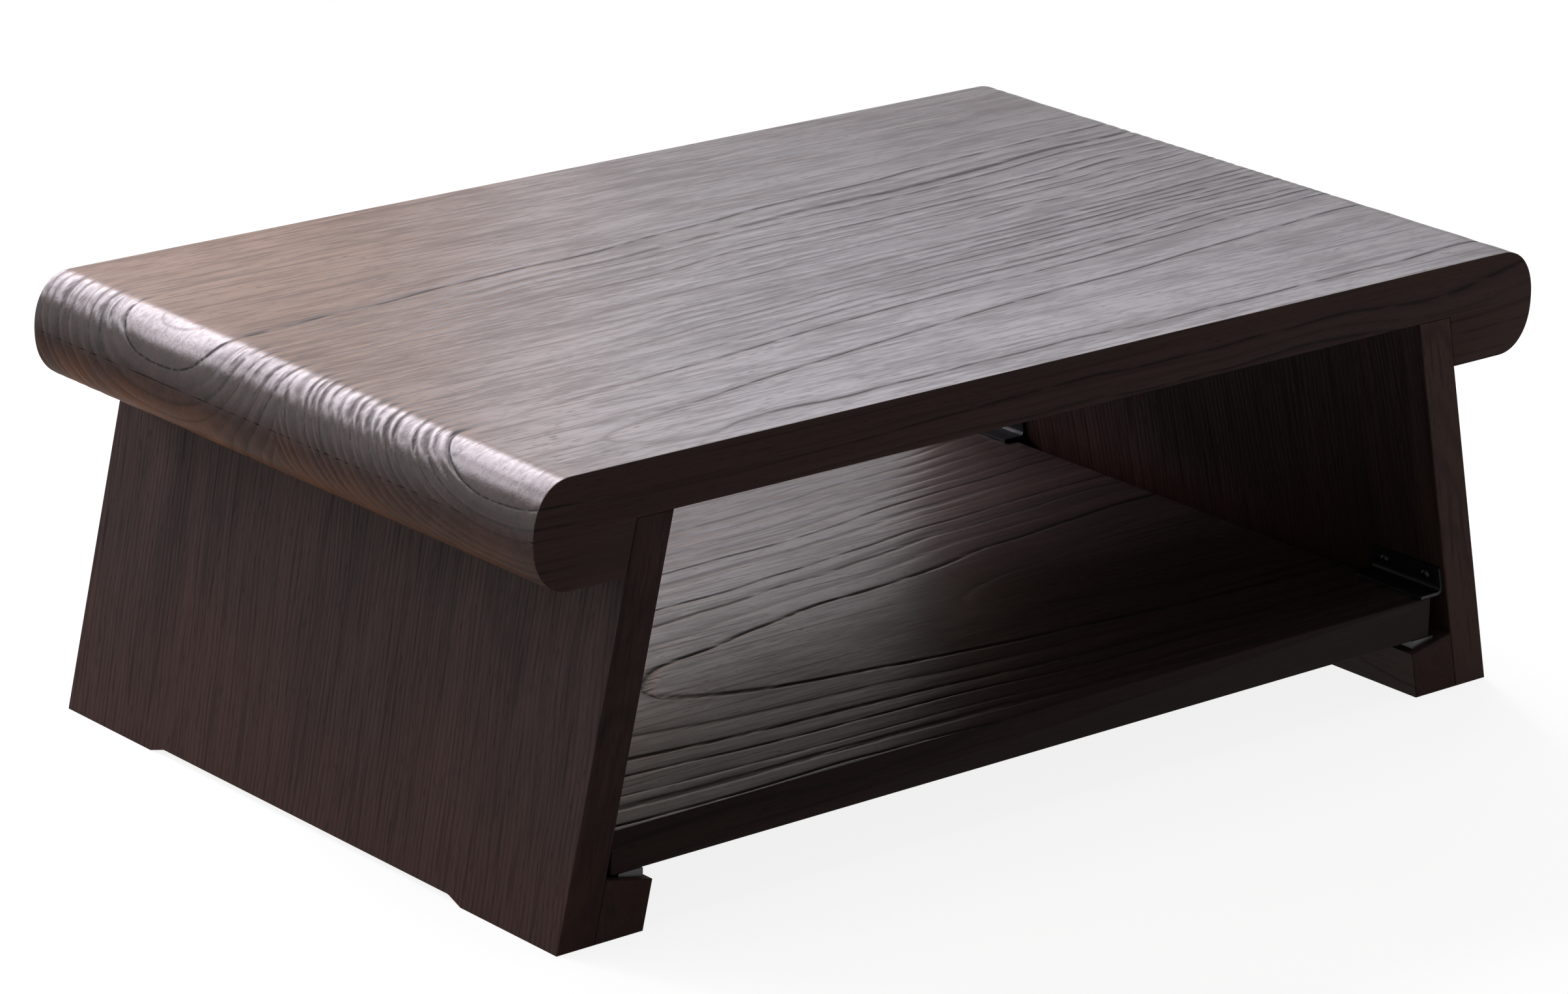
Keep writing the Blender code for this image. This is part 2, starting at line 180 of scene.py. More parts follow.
# Rings: how they sway and how uneven they are, how strong the plain ones are, where lines are broken,
# how wide they are, and how much of that width is left on a flat face
SWAY_SCALE = (4.5, 7.0, 9.0)
SWAY_ACROSS = 0.030
SWAY_THROUGH = 0.010
UNEVEN_SCALE = 90.0
UNEVEN_SHARE = 0.7
BREAK_SCALE = (45.0, 240.0, 240.0)
BREAK_RANGE = (0.15, 0.55)
PLAIN_LEAST = 0.25
PLAIN_SPREAD = 0.55
FLAT_LINE_LEAST = 0.15
FLAT_LINE_GROWTH = 1.05
TOP_LINE = 0.0014
SHELF_LINE = 0.0026
LEG_LINE = 0.0012
RAIL_LINE = 0.0012

# The flat of the top: where its plain lines grow stronger to the right, by how much, and where the
# lines of its front board fade at the left and those of its rear board behind the heart
PLAIN_LEFT = (-0.35, 0.0)
PLAIN_LEFT_GAIN = 0.7
PLAIN_RIGHT = (0.0, 0.25)
PLAIN_RIGHT_GAIN = 0.6
FRONT_LEFT = (-0.31, -0.15)
FRONT_LEFT_LOSS = 0.70
REAR_BEHIND = (0.130, 0.150)
REAR_BEHIND_LOSS = 0.80

# Painted warm bounce light low on the rolled ends and painted light on the end faces; redder legs and
# rails, darker shelf faces, and where the lacquer is scuffed dull
# Painted warm bounce light: its heights, ends, rise to the rear, noise and strength
BOUNCE_HEIGHTS = (0.220, 0.258)
BOUNCE_ENDS = (0.362, 0.382)
BOUNCE_TO_REAR = (-0.22, 0.10)
BOUNCE_FRONT_SHARE = 0.45
BOUNCE_SCALE = (20.0, 16.0, 20.0)
BOUNCE_RANGE = (0.15, 0.70)
BOUNCE_MOST = 0.95
# Painted light on the end faces of the top, brighter to the right
FACE_LIGHT_SHARE = 0.27
FACE_LIGHT_RIGHT = (0.20, 0.36)
FACE_LIGHT_RIGHT_GAIN = 0.22
RED_SCALE = (9.0, 12.0, 12.0)
RED_HEIGHTS = (0.00, 0.17)
RED_SPREAD = 0.24
RED_MOST = 0.60
# Painted light on the end faces of the right leg panel
FACE_LIGHT_LEG = (0.0, 0.1)
FACE_LIGHT_LEG_MOST = 0.80
RAIL_SCALE = (6.0, 40.0, 40.0)
RAIL_RANGE = (0.30, 0.70)
DARK_FACES = 0.60
DULL_HEIGHTS = (0.245, 0.275)
DULL_MOST = 0.92

# Camera: the photograph's view
CAMERA_PLACE = (-2.3517, -2.7338, 1.3549)
CAMERA_RIGHT = (0.7639, -0.6450, 0.0234)
CAMERA_DOWN = (-0.1904, -0.2600, -0.9467)
CAMERA_FORWARD = (0.6166, 0.7187, -0.3214)
CAMERA_LENS = 139.29
CAMERA_SENSOR = 36.0
CAMERA_END = 100.0

# Light: soft panels. Each has its direction from the table, in degrees round from the back and up from
# the floor, its distance, the angles that it fills, its radiance and its colour
Panel = namedtuple("Panel", "round_from_back up distance width height radiance colour")
PANELS = {
    "rear_panel": Panel(1.5, 37.5, 6.0, 38.0, 17.0, 13.2, (1.0, 0.91, 0.99)),
    "rear_left_panel": Panel(-31.0, 27.0, 6.0, 24.0, 14.0, 8.8, (1.0, 0.92, 0.99)),
    "rear_right_panel": Panel(26.0, 32.0, 6.0, 12.0, 7.0, 4.8, (1.0, 0.90, 0.96)),
    "window_panel": Panel(48.0, 27.0, 1.8, 32.0, 17.0, 3.0, (0.92, 0.91, 1.0)),
    "warm_panel": Panel(25.0, 18.0, 6.0, 20.0, 15.0, 1.65, (1.0, 0.58, 0.37)),
    "left_panel": Panel(-71.6, 17.5, 6.0, 29.0, 24.0, 2.0, (1.0, 0.94, 0.90)),
    "overhead_panel": Panel(0.0, 84.0, 6.0, 32.0, 32.0, 1.5, (1.0, 0.98, 0.97)),
}

# What the panels face, and a panel's power for each unit of its radiance and its area
PANEL_AIM = (0.0, 0.0, 0.25)
POWER_PER_RADIANCE = 4.0

# World and floor: the fill, the backdrop overhead and where it starts, and the floor's greys, its own
# glow near the table, and where it fades to white
WHITE = (1.0, 1.0, 1.0, 1.0)
WORLD_FILL = 0.22
WORLD_ABOVE = 0.30
WORLD_RISE = (0.10, 0.32)
FLOOR_REACH = 9.0
FLOOR_GREY = (0.50, 0.50, 0.50, 1.0)
FLOOR_SHADE = (0.20, 0.20, 0.20, 1.0)
FLOOR_GLOW = 0.86
FLOOR_FADE = (0.75, 1.6)

# One board's place in its log: where the heart is across and through the board, how the heart
# drifts along the grain, how squashed and how square the rings are, the radius of a marked ring,
# how far apart the rings are inside it and outside it, and how many rings inside it are marked too
Board = namedtuple("Board", "heart_across heart_through drift_across drift_through squash square "
                            "first inner ring more_marked")
TOP_REAR = Board(0.1466, 0.330, 0.077, 0.0, 0.887, 2.5, 0.0680, 0.0190, 0.0105, 0)
TOP_FRONT = Board(-0.190, 0.3185, 0.060, -0.031, 1.34, 2.3, 0.0640, 0.0225, 0.0057, 1)
SHELF_BOARD = Board(-0.082, -0.0266, 0.020, 0.0855, 1.0, 2.0, 0.1077, 0.0200, 0.0135, 0)
LEG_BOARD = Board(0.900, 0.300, 0.02, 0.05, 1.0, 2.0, 0.7000, 0.0042, 0.0042, 0)
RAIL_BOARD = Board(0.400, 0.080, 0.03, 0.02, 1.0, 2.0, 0.1000, 0.0050, 0.0050, 0)

# Where the front board of the top ends and its rear board starts
TOP_JOIN = (-0.008, 0.000)

# One finish of the wood: how dark its ring lines and its pores are, how much its sheen is broken up
# along the fibres, how deep the lines and the swell between them go in its bump, how rough and how
# glossy its lacquer is, and how many times shorter than usual its streaks are
Finish = namedtuple("Finish", "line pore broken groove swell rough gloss short")
TOP_FINISH = Finish(0.95, 0.35, 0.42, 0.00024, 0.00005, 0.27, 0.52, 1.0)
ROLL_FINISH = Finish(0.65, 0.10, 0.15, 0.0, 0.0, 0.27, 0.40, 1.0)
SHELF_FINISH = Finish(0.95, 0.45, 0.38, 0.0, 0.0, 0.27, 0.61, 1.0)
LEG_FINISH = Finish(0.60, 0.45, 0.25, 0.00010, 0.00003, 0.40, 0.08, 2.6)
RAIL_FINISH = Finish(0.40, 0.15, 0.15, 0.00005, 0.00002, 0.45, 0.08, 1.0)


class Socket:
    """One output of a node. Arithmetic on it adds Math nodes to its tree."""

    def __init__(self, tree, output):
        self.tree = tree
        self.output = output

    def math(self, operation, *others):
        """The result of a Math node with this socket first."""
        sockets = dict(enumerate((self, *others)))
        return self.tree.node('ShaderNodeMath', {"operation": operation}, sockets)

    def after(self, operation, first):
        """The result of a Math node with this socket second."""
        return self.tree.node('ShaderNodeMath', {"operation": operation}, {0: first, 1: self})

    def __add__(self, other):
        return self.math('ADD', other)

    def __radd__(self, other):
        return self.after('ADD', other)

    def __sub__(self, other):
        return self.math('SUBTRACT', other)

    def __rsub__(self, other):
        return self.after('SUBTRACT', other)

    def __mul__(self, other):
        return self.math('MULTIPLY', other)

    def __rmul__(self, other):
        return self.after('MULTIPLY', other)

    def __truediv__(self, other):
        return self.math('DIVIDE', other)

    def __rtruediv__(self, other):
        return self.after('DIVIDE', other)

    def __pow__(self, other):
        return self.math('POWER', other)

    def __abs__(self):
        return self.math('ABSOLUTE')


class Tree:
    """A node tree, and the one way that nodes are added to it."""

    def __init__(self, tree):
        self.tree = tree

    def node(self, kind, settings=None, sockets=None, output=0):
        """Adds a node: its type, then its settings, then the values or links of its sockets."""
        made = self.tree.nodes.new(kind)
        for name, value in (settings or {}).items():
            setattr(made, name, value)
        for key, value in (sockets or {}).items():
            if isinstance(value, (Socket, list)):
                for source in value if isinstance(value, list) else [value]:
                    self.tree.links.new(source.output, made.inputs[key])
            else:
                made.inputs[key].default_value = value
        if not made.outputs:
            return made
        return Socket(self, made.outputs[output])


def step_between(tree, value, start, end):
    """0 up to one value, 1 past the other, and smooth between them."""
    return tree.node('ShaderNodeMapRange', {"interpolation_type": 'SMOOTHSTEP'},
                     {0: value, 1: start, 2: end, 3: 0.0, 4: 1.0})


def mix_colours(tree, factor, first, second):
    """A colour between two."""
    return tree.node('ShaderNodeMix', {"data_type": 'RGBA'}, {0: factor, 6: first, 7: second}, 2)


def mix_values(tree, factor, first, second):
    """A number between two."""
    return tree.node('ShaderNodeMix', {"data_type": 'FLOAT'}, {0: factor, 2: first, 3: second}, 0)


def stretched_noise(tree, place, stretch, detail=2.0, roughness=0.5):
    """Noise from 0 to 1, with its own scale along the grain, across it and through it."""
    scaled = tree.node('ShaderNodeVectorMath', {"operation": 'MULTIPLY'}, {0: place, 1: stretch})
    return tree.node('ShaderNodeTexNoise', {"noise_dimensions": '3D'},
                     {"Vector": scaled, "Scale": 1.0, "Detail": detail, "Roughness": roughness})


def line_noise(tree, value, scale):
    """Noise from 0 to 1 along one number."""
    return tree.node('ShaderNodeTexNoise', {"noise_dimensions": '1D'},
                     {"W": value, "Scale": scale, "Detail": 1.0, "Roughness": 0.5})


def grain_axes(tree, place):
    """The three numbers of a place: along the grain, across it and through it."""
    return [tree.node('ShaderNodeSeparateXYZ', None, {0: place}, index) for index in range(3)]


def heart_distance(tree, place, board):
    """How far a place in a board is from the heart of its log, and how fast that grows across it."""
    along, across, through = grain_axes(tree, place)
    sway = stretched_noise(tree, place, SWAY_SCALE) - 0.5
    sideways = across - board.heart_across - along * board.drift_across + sway * SWAY_ACROSS
    sideways = abs(sideways) / board.squash
    upward = abs(through - board.heart_through - along * board.drift_through + sway * SWAY_THROUGH)
    distance = (sideways ** board.square + upward ** board.square) ** (1.0 / board.square)
    growth = (sideways / distance) ** (board.square - 1.0) / board.squash
    return distance, growth.math('MINIMUM', 1.0)


def ring_lines(tree, place, board, width, flat, plain=1.0):
    """Each ring's late line, from 0 to its own strength, its soft shoulder, and the swell between lines.

    Where a board's face is flat, a line is kept about as wide as where a ring meets the face squarely.
    The strength of the rings that aren't marked is multiplied by the plain factor.
    """
    distance, growth = heart_distance(tree, place, board)
    uneven = (line_noise(tree, distance, UNEVEN_SCALE) - 0.5) * board.ring * UNEVEN_SHARE
    beyond = distance - board.first + uneven
    turn = beyond.math('MAXIMUM', 0.0) / board.ring + beyond.math('MINIMUM', 0.0) / board.inner + 0.5
    number = turn.math('FLOOR')
    chance = tree.node('ShaderNodeTexWhiteNoise', {"noise_dimensions": '1D'}, {"W": number})
    half = board.more_marked / 2.0
    marked = 1.0 - step_between(tree, abs(number + half), half + 0.2, half + 0.8)
    spacing = mix_values(tree, beyond.math('GREATER_THAN', 0.0), board.inner, board.ring)
    part = turn - number - 0.5
    gap = abs(part) * spacing
    reach = width * mix_values(tree, flat, 1.0, FLAT_LINE_LEAST + growth * FLAT_LINE_GROWTH)
    broken = stretched_noise(tree, place, BREAK_SCALE, 1.0)
    strength = (PLAIN_LEAST + chance * PLAIN_SPREAD) * plain
    strength = strength.math('MINIMUM', 1.0).math('MAXIMUM', marked)
    strength = strength * step_between(tree, broken, *BREAK_RANGE)
    line = (1.0 - step_between(tree, gap / reach, 0.0, 1.0)) * strength
    shoulder = (1.0 - step_between(tree, gap / (reach * (flat * 2.0 + 1.0)), 0.0, 1.0)) * strength
    swell = 0.5 - (part * math.tau).math('COSINE') * 0.5
    return line, shoulder, swell


def top_flat(tree, place):
    """1 on the flat of the top, and 0 on its rolled ends."""
    return 1.0 - step_between(tree, abs(grain_axes(tree, place)[0]), *ROLL_ENDS)


def top_rings(tree, place):
    """Ring lines of the top, which is glued up from a rear and a front board."""
    along, across, _ = grain_axes(tree, place)
    flat = top_flat(tree, place)
    gain = step_between(tree, along, *PLAIN_RIGHT) * PLAIN_RIGHT_GAIN
    gain = gain + step_between(tree, along, *PLAIN_LEFT) * PLAIN_LEFT_GAIN
    plain = 1.0 + flat * (gain - PLAIN_LEFT_GAIN)
    rear = ring_lines(tree, place, TOP_REAR, TOP_LINE, flat, plain)
    front = ring_lines(tree, place, TOP_FRONT, TOP_LINE, flat, plain)
    is_rear = step_between(tree, across, *TOP_JOIN)
    behind = step_between(tree, across - along * TOP_REAR.drift_across, *REAR_BEHIND)
    line, shoulder, swell = [mix_values(tree, is_rear, *pair) for pair in zip(front, rear)]
    to_left = 1.0 - step_between(tree, along, *FRONT_LEFT)
    lost = mix_values(tree, is_rear, to_left * FRONT_LEFT_LOSS, behind * REAR_BEHIND_LOSS)
    kept = 1.0 - flat * lost
    return line * kept, shoulder * kept, swell


def shelf_rings(tree, place):
    """Ring lines of the shelf, one wide flat-sawn board."""
    return ring_lines(tree, place, SHELF_BOARD, SHELF_LINE, 1.0)


def leg_rings(tree, place):
    """Ring lines of a leg panel, close and nearly straight."""
    return ring_lines(tree, place, LEG_BOARD, LEG_LINE, 0.0)


def rail_rings(tree, place):
    """Ring lines of a shelf rail."""
    return ring_lines(tree, place, RAIL_BOARD, RAIL_LINE, 0.0)


def object_place(tree):
    """Where a point of a piece is."""
    return tree.node('ShaderNodeTexCoord', None, None, 3)


def leg_place(tree):
    """A point of a leg panel: along its lean, along the table's depth, and through its thickness."""
    x, y, z = grain_axes(tree, object_place(tree))
    across = y - z * LEG_TILT + x.math('SIGN') * LEG_SHIFT
    return tree.node('ShaderNodeCombineXYZ', None, {0: z, 1: across, 2: abs(x) + z * LEAN_RUN})


def rail_place(tree):
    """A point of a rail, whose grain runs along the table's depth."""
    x, y, z = grain_axes(tree, object_place(tree))
    return tree.node('ShaderNodeCombineXYZ', None, {0: y, 1: x, 2: z})


def new_material(name):
    """An empty material and its tree."""
    material = bpy.data.materials.new(name)
    material.use_nodes = True
    material.node_tree.nodes.clear()
    return material, Tree(material.node_tree)


def bare_share(tree, place, sunk, broken, dull):
    """How much bare wood shows through the lacquer: in sunk places, along fibres and on dull faces."""
    thread = stretched_noise(tree, place, THREAD_SCALE, 2.0, 0.65)
    patch = stretched_noise(tree, place, PATCH_SCALE)
    mottled = thread * THREAD_SHARE + patch * (1.0 - THREAD_SHARE)
    worn_off = step_between(tree, mottled, *BROKEN_RANGE) * broken
    return (sunk * SUNK_DULLNESS).math('MAXIMUM', worn_off).math('MAXIMUM', dull(tree))


def wood_material(name, find_place, find_rings, finish, dull, wear_and_painted_light, relief_mask=None):
    """Dark stained wood. Its lines, fibres and pores set its colour, gloss and bump."""
    material, tree = new_material(name)
    place = find_place(tree)
    line, shoulder, swell = find_rings(tree, place)
    grain = tree.node('ShaderNodeVectorMath', {"operation": 'MULTIPLY'},
                      {0: place, 1: (finish.short, 1.0, 1.0)})
    fibre = stretched_noise(tree, grain, FIBRE_SCALE, 3.0, 0.6)
    streak = stretched_noise(tree, grain, STREAK_SCALE)
    cloud = stretched_noise(tree, place, CLOUD_SCALE)
    vein = step_between(tree, stretched_noise(tree, grain, VEIN_SCALE, 1.0), *VEIN_RANGE)
    pore = step_between(tree, stretched_noise(tree, place, PORE_SCALE, 0.0), *PORE_RANGE)
    tone = fibre * TONE_SHARES[0] + streak * TONE_SHARES[1] + cloud * TONE_SHARES[2]
    colour = mix_colours(tree, step_between(tree, tone, *TONE_RANGE), STAIN_DARK, STAIN_LIGHT)
    # The board's tint is mixed in: red patches on legs and rails, darker shelf faces, and painted light
    # on the top and right leg
    amount, tint_and_painted_light = wear_and_painted_light(tree, place)
    colour = mix_colours(tree, amount, colour, tint_and_painted_light)
    open_pore = finish.pore
    broken = finish.broken
    rings_height = shoulder * finish.groove + (1.0 - swell) * finish.swell
    if relief_mask:
        flat = relief_mask(tree)
        open_pore = (ROLL_PORES + flat * (1.0 - ROLL_PORES)) * open_pore
        broken = (ROLL_BROKEN + flat * (1.0 - ROLL_BROKEN)) * broken
        rings_height = rings_height * flat
    soft_line = (line * LINE_SHARE + shoulder * (1.0 - LINE_SHARE)) * finish.line
    sunk = soft_line.math('MAXIMUM', vein * open_pore).math('MAXIMUM', pore * open_pore)
    colour = mix_colours(tree, sunk, colour, STAIN_LINE)
    roughness = finish.rough + fibre * FIBRE_ROUGHNESS + sunk * SUNK_ROUGHNESS
    height = fibre * FIBRE_HEIGHT - vein * VEIN_DEPTH - pore * PORE_DEPTH - rings_height
    bump = tree.node('ShaderNodeBump', None, {"Strength": 1.0, "Distance": 1.0, "Height": height})
    lacquer = tree.node('ShaderNodeBsdfPrincipled', None,
                        {"Base Color": colour, "Roughness": roughness, "Normal": bump,
                         "Specular IOR Level": finish.gloss})
    bare = tree.node('ShaderNodeBsdfPrincipled', None,
                     {"Base Color": colour, "Roughness": MATTE_ROUGHNESS, "Normal": bump,
                      "Specular IOR Level": MATTE_SPECULAR})
    share = bare_share(tree, place, sunk, broken, dull)
    surface = tree.node('ShaderNodeMixShader', None, {0: share, 1: lacquer, 2: bare})
    tree.node('ShaderNodeOutputMaterial', None, {"Surface": surface})
    return material


def dull_ends(tree):
    """1 on the front and back faces of the table, which are sealed but not polished."""
    y = grain_axes(tree, object_place(tree))[1]
    return step_between(tree, abs(y), *END_FACES)


def dull_shelf(tree):
    """1 on the front and back faces of the shelf."""
    y = grain_axes(tree, object_place(tree))[1]
    return step_between(tree, abs(y), *SHELF_FACES)


def dull_roll(tree):
    """Dull ends, and a duller lower half where hands have scuffed the rolled ends."""
    x, _, z = grain_axes(tree, object_place(tree))
    low = 1.0 - step_between(tree, z, *DULL_HEIGHTS)
    end = step_between(tree, abs(x), *ROLL_ENDS)
    return dull_ends(tree).math('MAXIMUM', low * end * DULL_MOST)


def flat_mask(tree):
    """1 on the flat of the top, and 0 on its rolled ends, whose relief is in their shape."""
    return top_flat(tree, object_place(tree))


def roll_painted_light(tree, place):
    """Painted warm bounce light low on the rolled ends, stronger to the rear, and painted light on the
    front and back faces, brighter to the right.
    """
    along, across, through = grain_axes(tree, place)
    low = 1.0 - step_between(tree, through, *BOUNCE_HEIGHTS)
    end = step_between(tree, abs(along), *BOUNCE_ENDS)
    patchy = step_between(tree, stretched_noise(tree, place, BOUNCE_SCALE, 3.0), *BOUNCE_RANGE)
    rear = BOUNCE_FRONT_SHARE + step_between(tree, across, *BOUNCE_TO_REAR) * (1.0 - BOUNCE_FRONT_SHARE)
    face = step_between(tree, abs(across), *END_FACES)
    # Painted warm bounce light, low on the rolled ends and stronger to the rear
    warm_bounce = low * end * rear * patchy * (1.0 - face) * BOUNCE_MOST
    # Painted light on the front and back faces, brighter to the right
    face_light = face * (FACE_LIGHT_SHARE + step_between(tree, along, *FACE_LIGHT_RIGHT) * FACE_LIGHT_RIGHT_GAIN)
    return warm_bounce.math('MAXIMUM', face_light), mix_colours(tree, face, PAINTED_WARM_BOUNCE, PAINTED_FACE_LIGHT)


def leg_redness_and_painted_light(tree, place):
    """Redder low on the leg panels, and painted light on the front and back faces of the right one."""
    height = grain_axes(tree, place)[0]
    x, y, _ = grain_axes(tree, object_place(tree))
    patchy = stretched_noise(tree, place, RED_SCALE, 4.0) - 0.5
    low = 1.0 - step_between(tree, height + patchy * RED_SPREAD, *RED_HEIGHTS)
    # Painted light on the front and back faces of the right leg panel
    edge = step_between(tree, abs(y), *END_FACES) * step_between(tree, x, *FACE_LIGHT_LEG)
    amount = (low * RED_MOST).math('MAXIMUM', edge * FACE_LIGHT_LEG_MOST)
    return amount, mix_colours(tree, edge, STAIN_RED, PAINTED_FACE_LIGHT)


def rail_wear(tree, place):
    """Where the stain of a rail is redder: in long patches along it."""
    patchy = stretched_noise(tree, place, RAIL_SCALE, 3.0)
    return step_between(tree, patchy, *RAIL_RANGE) * RED_MOST, STAIN_RED


def shelf_wear(tree, place):
    """Where the stain of the shelf is darker: on its front and back faces."""
    return dull_shelf(tree) * DARK_FACES, STAIN_DARK


def one_shader(tree, sockets):
    """Ends a material's tree in a single Principled shader."""
    shader = tree.node('ShaderNodeBsdfPrincipled', None, sockets)
    tree.node('ShaderNodeOutputMaterial', None, {"Surface": shader})


def steel_material():
    """Dark plated steel, with a finer bright grain where it was rolled."""
    material, tree = new_material("plated_steel")
    place = object_place(tree)
    grain = stretched_noise(tree, place, STEEL_GRAIN_SCALE)
    blotch = stretched_noise(tree, place, STEEL_BLOTCH_SCALE, 3.0)
    shade = grain * STEEL_GRAIN_SHARE + blotch * (1.0 - STEEL_GRAIN_SHARE)
    one_shader(tree, {"Base Color": mix_colours(tree, shade, STEEL_DARK, STEEL_LIGHT), "Metallic": 1.0,
                      "Roughness": 0.34 + grain * 0.14 + blotch * 0.12})
    return material


def nylon_material():
    """Dark moulded nylon, slightly cloudy and smooth to slide on."""
    material, tree = new_material("dark_nylon")
    place = object_place(tree)
    cloud = stretched_noise(tree, place, NYLON_CLOUD_SCALE, 3.0)
    speck = stretched_noise(tree, place, NYLON_SPECK_SCALE, 1.0)
    bump = tree.node('ShaderNodeBump', None,
                     {"Strength": 1.0, "Distance": 1.0, "Height": speck * NYLON_SPECK_HEIGHT})
    one_shader(tree, {"Base Color": mix_colours(tree, cloud, NYLON_DARK, NYLON_LIGHT),
                      "Roughness": 0.26 + speck * 0.12, "Normal": bump})
    return material


def beech_material():
    """Plain beech of the hidden dowels, with short flecks along their length."""
    material, tree = new_material("dowel_beech")
    place = object_place(tree)
    fibre = stretched_noise(tree, place, BEECH_FIBRE_SCALE, 3.0)
    speckled = stretched_noise(tree, place, BEECH_FLECK_SCALE, 0.0)
    fleck = step_between(tree, speckled, *BEECH_FLECK_RANGE)
    colour = mix_colours(tree, fibre, BEECH_DARK, BEECH_LIGHT)
    one_shader(tree, {"Base Color": mix_colours(tree, fleck * 0.5, colour, BEECH_FLECK),
                      "Roughness": 0.50 + fibre * 0.2})
    return material


def add_object(name, data):
    """A new object in the scene."""
    made = bpy.data.objects.new(name, data)
    bpy.context.scene.collection.objects.link(made)
    return made


def roll_quarter(height, fullness, count):
    """A quarter of a rolled end, from its tip to where the flat starts, in even steps."""
    fine = []
    for step in range(FINE_STEPS + 1):
        angle = math.pi / 2 * step / FINE_STEPS
        inward = ROLL_WIDTH * (1 - math.cos(angle) ** (2 / fullness))
        fine.append(Vector((inward, height * math.sin(angle) ** (2 / fullness))))
    return even_steps(fine, count)


def even_steps(points, count):
    """The same line through evenly spaced points."""
    lengths = [0.0]
    for before, after in zip(points, points[1:]):
        lengths.append(lengths[-1] + (after - before).length)
    even = []
    index = 0
    for step in range(count):
        wanted = lengths[-1] * step / (count - 1)
        while index < len(points) - 2 and lengths[index + 1] < wanted:
            index += 1
        span = lengths[index + 1] - lengths[index]
        part = (wanted - lengths[index]) / span if span else 0.0
        even.append(points[index].lerp(points[index + 1], min(max(part, 0.0), 1.0)))
    return even


def edge_stations(front, back, count):
    """Places along Y with how far the outline is drawn in there, to round the two rims."""
    rounding = []
    for step in range(EDGE_STEPS):
        angle = math.pi / 2 * step / EDGE_STEPS
        rounding.append((EDGE_RADIUS * (1 - math.sin(angle)), EDGE_RADIUS * (1 - math.cos(angle))))
    start = [(front + depth, inset) for inset, depth in rounding]
    inner_front = front + EDGE_RADIUS
    span = back - EDGE_RADIUS - inner_front
    middle = [(inner_front + span * step / (count - 1), 0.0) for step in range(count)]
    end = [(back - depth, inset) for inset, depth in reversed(rounding)]
    return start + middle + end


def drawn_in(outline, inset, seam):
    """An outline, run anticlockwise, moved inwards by a distance, but not away from its glued seam."""
    if not inset:
        return outline
    moved = []
    for index, point in enumerate(outline):
        before = (point - outline[index - 1]).normalized()
        after = (outline[(index + 1) % len(outline)] - point).normalized()
        inward = Vector((-before.y - after.y, before.x + after.x))
        if inward.length < NEARLY_ZERO:
            moved.append(point)
            continue
        inward.normalize()
        squareness = max(inward.dot(Vector((-before.y, before.x))), LEAST_SQUARENESS)
        drawn = point + inward * (inset / squareness)
        if abs(point.y - seam) < NEARLY_ZERO:
            drawn.y = seam
        moved.append(drawn)
    return moved


def swept_board(name, outline, stations, seam=-1.0):
    """A closed board: an outline in X and Z, carried along Y through its stations."""
    points = []
    for y, inset in stations:
        points += [(point.x, y, point.y) for point in drawn_in(outline, inset, seam)]
    count = len(outline)
    faces = []
    for row in range(len(stations) - 1):
        base = row * count
        for column in range(count):
            following = (column + 1) % count
            faces.append((base + column, base + count + column,
                          base + count + following, base + following))
    last = (len(stations) - 1) * count
    faces.append(tuple(range(count)))
    faces.append(tuple(reversed(range(last, last + count))))
    mesh = bpy.data.meshes.new(name)
    mesh.from_pydata(points, [], faces)
    mesh.shade_smooth()
    mesh.set_sharp_from_angle(angle=SHARP_ANGLE)
    return add_object(name, mesh)


def new_group(name, inputs, output):
    """A Geometry Nodes tree with its named inputs and its output, and the sockets of the inputs."""
    group = bpy.data.node_groups.new(name, 'GeometryNodeTree')
    for label, kind in inputs.items():
        group.interface.new_socket(label, in_out='INPUT', socket_type=f'NodeSocket{kind}')
    group.interface.new_socket(output, in_out='OUTPUT', socket_type='NodeSocketGeometry')
    tree = Tree(group)
    given = [tree.node('NodeGroupInput', None, None, index) for index in range(len(inputs))]
    return group, tree, given


def end_group(tree, geometry, material):
    """Ends a Geometry Nodes tree in real geometry with its material."""
    real = tree.node('GeometryNodeRealizeInstances', None, {"Geometry": geometry})
    dressed = tree.node('GeometryNodeSetMaterial', None, {"Geometry": real, "Material": material})
    tree.node('NodeGroupOutput', None, {0: dressed})


def relief_tree(name, find_rings, fade):
    """A Geometry Nodes tree that brushes the ring lines into a board's surface."""
    inputs = {"Board": 'Geometry', "Groove Depth": 'Float', "Swell Depth": 'Float', "Wood": 'Material'}
    group, tree, (board, groove_depth, swell_depth, wood) = new_group(name, inputs, "Brushed")
    place = tree.node('GeometryNodeInputPosition')
    normal = tree.node('GeometryNodeInputNormal')
    line, _, swell = find_rings(tree, place)
    uneven = step_between(tree, stretched_noise(tree, place, SWELL_SCALE), *SWELL_RANGE)
    rolling = (1.0 - swell) * swell_depth * (SWELL_LEAST + uneven * SWELL_SPREAD)
    depth = (line * groove_depth + rolling) * fade(tree, place, normal)
    sunk = tree.node('ShaderNodeVectorMath', {"operation": 'SCALE'}, {0: normal, "Scale": 0.0 - depth})
    moved = tree.node('GeometryNodeSetPosition', None, {"Geometry": board, "Offset": sunk})
    end_group(tree, moved, wood)
    return group


def roll_fade(tree, place, normal):
    """Relief on the rolled ends only, and none on their front and back rims."""
    along = grain_axes(tree, place)[0]
    side = abs(grain_axes(tree, normal)[1])
    return step_between(tree, abs(along), *ROLL_ENDS) * (1.0 - step_between(tree, side, *RIM_NORMALS))


def shelf_fade(tree, place, normal):
    """Relief on the shelf's upper and lower faces."""
    return step_between(tree, abs(grain_axes(tree, normal)[2]), *LEVEL_NORMALS)


